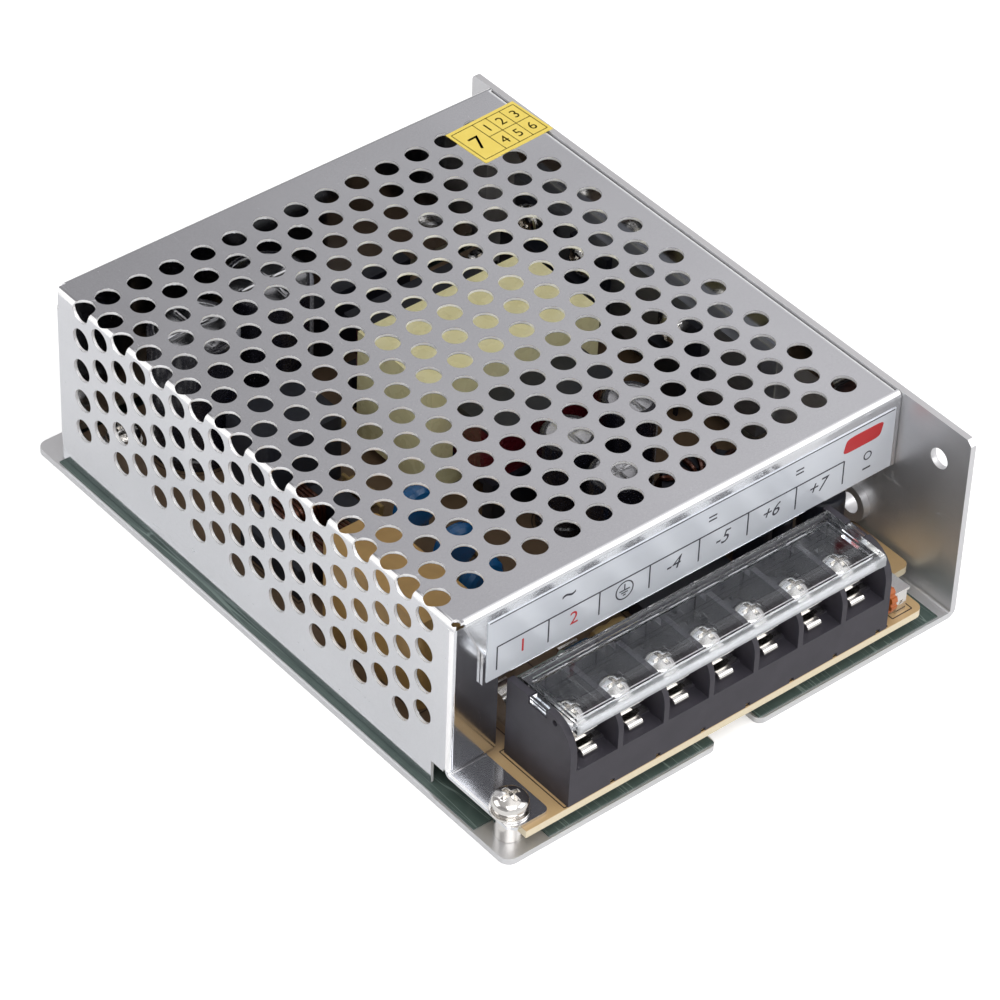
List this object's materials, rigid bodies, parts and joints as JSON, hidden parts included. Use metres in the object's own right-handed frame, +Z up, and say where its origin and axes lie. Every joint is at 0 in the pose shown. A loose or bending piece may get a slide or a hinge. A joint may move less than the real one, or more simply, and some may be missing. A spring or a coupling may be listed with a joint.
{
  "type": "enclosed switching power supply",
  "caption": "Enclosed power supply: folded chassis, perforated cover, row of screw terminals under a flip-up clear lid, parts inside on a board.",
  "frame": {"origin": "centre of the case's footprint, on the underside of the chassis plate", "axes": "+X across the terminals to the chassis wall, +Y from the terminals to the back, +Z up from the chassis plate"},
  "size_m": [0.098, 0.129, 0.0386],
  "materials": {
    "chassis_sheet": "bright rolled",
    "cover_sheet": "zinc coated, lightly brushed",
    "insulating_film": "thin film",
    "plated_steel": "nickel plated",
    "board_laminate": "phenolic paper laminate",
    "block_plastic": "moulded, fine grain",
    "clear_plastic": "clear moulded",
    "label_film": "glossy, silver white",
    "yellow_paper": "matt printed",
    "yellow_tape": "polyester tape",
    "black_bobbin": "moulded",
    "red_tape": "polyester tape",
    "ferrite": "sintered",
    "copper_wire": "enamelled copper",
    "can_sleeve": "shrunk sleeve, bare aluminium top",
    "film_capacitor": "moulded box",
    "blue_epoxy": "dipped",
    "fuse_glass": "clear tube",
    "green_epoxy": "dipped",
    "bar_aluminium": "sawn",
    "grey_pad": "silicone pad",
    "resistor_paint": "painted",
    "brown_wheel": "moulded",
    "green_lamp": "tinted clear"
  },
  "bodies": {
    "housing": {"chassis": "chassis_sheet", "cover": "cover_sheet", "insulating_sheet": "insulating_film", "standoffs": "plated_steel", "circuit_board": "board_laminate", "mounting_screws": "plated_steel", "cover_screws": "plated_steel", "terminal_block": "block_plastic", "terminal_contacts": "plated_steel", "label_strip": "label_film", "seal_sticker": "yellow_paper", "transformer_core": "yellow_tape", "transformer_bobbin": "black_bobbin", "transformer_winding": "red_tape", "drive_transformer": "yellow_tape", "choke_core": "ferrite", "choke_windings": "copper_wire", "bulk_capacitor_1": "can_sleeve", "bulk_capacitor_2": "can_sleeve", "output_capacitor_1": "can_sleeve", "output_capacitor_2": "can_sleeve", "output_capacitor_3": "can_sleeve", "small_capacitors": "black_bobbin", "output_inductor_core": "ferrite", "output_inductor_winding": "copper_wire", "mains_filter_capacitor": "film_capacitor", "disc_capacitors": "blue_epoxy", "mains_fuse": "fuse_glass", "fuse_clips": "plated_steel", "inrush_thermistor": "green_epoxy", "bridge_rectifier": "black_bobbin", "switching_transistors": "black_bobbin", "output_rectifier": "black_bobbin", "heat_sink_bar": "bar_aluminium", "insulating_pad": "grey_pad", "bar_screws": "plated_steel", "control_chip": "black_bobbin", "resistors": "resistor_paint", "trimmer_body": "black_bobbin", "indicator_lamp": "green_lamp"},
    "lid": {"terminal_lid": "clear_plastic"},
    "trimmer": {"trimmer_wheel": "brown_wheel"},
    "clamp_1": {"clamp_plate_1": "plated_steel"},
    "screw_1": {"terminal_screw_1": "plated_steel"},
    "clamp_2": {"clamp_plate_2": "plated_steel"},
    "screw_2": {"terminal_screw_2": "plated_steel"},
    "clamp_3": {"clamp_plate_3": "plated_steel"},
    "screw_3": {"terminal_screw_3": "plated_steel"},
    "clamp_4": {"clamp_plate_4": "plated_steel"},
    "screw_4": {"terminal_screw_4": "plated_steel"},
    "clamp_5": {"clamp_plate_5": "plated_steel"},
    "screw_5": {"terminal_screw_5": "plated_steel"},
    "clamp_6": {"clamp_plate_6": "plated_steel"},
    "screw_6": {"terminal_screw_6": "plated_steel"},
    "clamp_7": {"clamp_plate_7": "plated_steel"},
    "screw_7": {"terminal_screw_7": "plated_steel"}
  },
  "joints": [
    {"name": "lid_hinge", "type": "hinge", "parent": "housing", "child": "lid", "pos_m": [0, -0.0501, 0.02095], "axis": [-1, 0, 0], "range_deg": [0, 90]},
    {"name": "clamp_slide_1", "type": "slide", "parent": "housing", "child": "clamp_1", "axis": [0, 0, 1], "range_m": [-0.0008, 0.0012]},
    {"name": "screw_turn_1", "type": "hinge", "parent": "clamp_1", "child": "screw_1", "pos_m": [-0.03083, -0.0572, 0.016], "axis": [0, 0, 1], "range_deg": [-481, 721]},
    {"name": "clamp_slide_2", "type": "slide", "parent": "housing", "child": "clamp_2", "axis": [0, 0, 1], "range_m": [-0.0008, 0.0012]},
    {"name": "screw_turn_2", "type": "hinge", "parent": "clamp_2", "child": "screw_2", "pos_m": [-0.02117, -0.0572, 0.016], "axis": [0, 0, 1], "range_deg": [-481, 721]},
    {"name": "clamp_slide_3", "type": "slide", "parent": "housing", "child": "clamp_3", "axis": [0, 0, 1], "range_m": [-0.0008, 0.0012]},
    {"name": "screw_turn_3", "type": "hinge", "parent": "clamp_3", "child": "screw_3", "pos_m": [-0.01153, -0.0572, 0.016], "axis": [0, 0, 1], "range_deg": [-481, 721]},
    {"name": "clamp_slide_4", "type": "slide", "parent": "housing", "child": "clamp_4", "axis": [0, 0, 1], "range_m": [-0.0008, 0.0012]},
    {"name": "screw_turn_4", "type": "hinge", "parent": "clamp_4", "child": "screw_4", "pos_m": [-0.00187, -0.0572, 0.016], "axis": [0, 0, 1], "range_deg": [-481, 721]},
    {"name": "clamp_slide_5", "type": "slide", "parent": "housing", "child": "clamp_5", "axis": [0, 0, 1], "range_m": [-0.0008, 0.0012]},
    {"name": "screw_turn_5", "type": "hinge", "parent": "clamp_5", "child": "screw_5", "pos_m": [0.00777, -0.0572, 0.016], "axis": [0, 0, 1], "range_deg": [-481, 721]},
    {"name": "clamp_slide_6", "type": "slide", "parent": "housing", "child": "clamp_6", "axis": [0, 0, 1], "range_m": [-0.0008, 0.0012]},
    {"name": "screw_turn_6", "type": "hinge", "parent": "clamp_6", "child": "screw_6", "pos_m": [0.01742, -0.0572, 0.016], "axis": [0, 0, 1], "range_deg": [-481, 721]},
    {"name": "clamp_slide_7", "type": "slide", "parent": "housing", "child": "clamp_7", "axis": [0, 0, 1], "range_m": [-0.0008, 0.0012]},
    {"name": "screw_turn_7", "type": "hinge", "parent": "clamp_7", "child": "screw_7", "pos_m": [0.02707, -0.0572, 0.016], "axis": [0, 0, 1], "range_deg": [-481, 721]},
    {"name": "trimmer_turn", "type": "hinge", "parent": "housing", "child": "trimmer", "pos_m": [0.0342, -0.0603, 0.0094], "axis": [1, 0, 0], "range_deg": [-130, 130]}
  ],
  "couplings": [
    {"joint": "screw_turn_1", "follows": "clamp_slide_1", "rad_per_m": 10472},
    {"joint": "screw_turn_2", "follows": "clamp_slide_2", "rad_per_m": 10472},
    {"joint": "screw_turn_3", "follows": "clamp_slide_3", "rad_per_m": 10472},
    {"joint": "screw_turn_4", "follows": "clamp_slide_4", "rad_per_m": 10472},
    {"joint": "screw_turn_5", "follows": "clamp_slide_5", "rad_per_m": 10472},
    {"joint": "screw_turn_6", "follows": "clamp_slide_6", "rad_per_m": 10472},
    {"joint": "screw_turn_7", "follows": "clamp_slide_7", "rad_per_m": 10472}
  ]
}
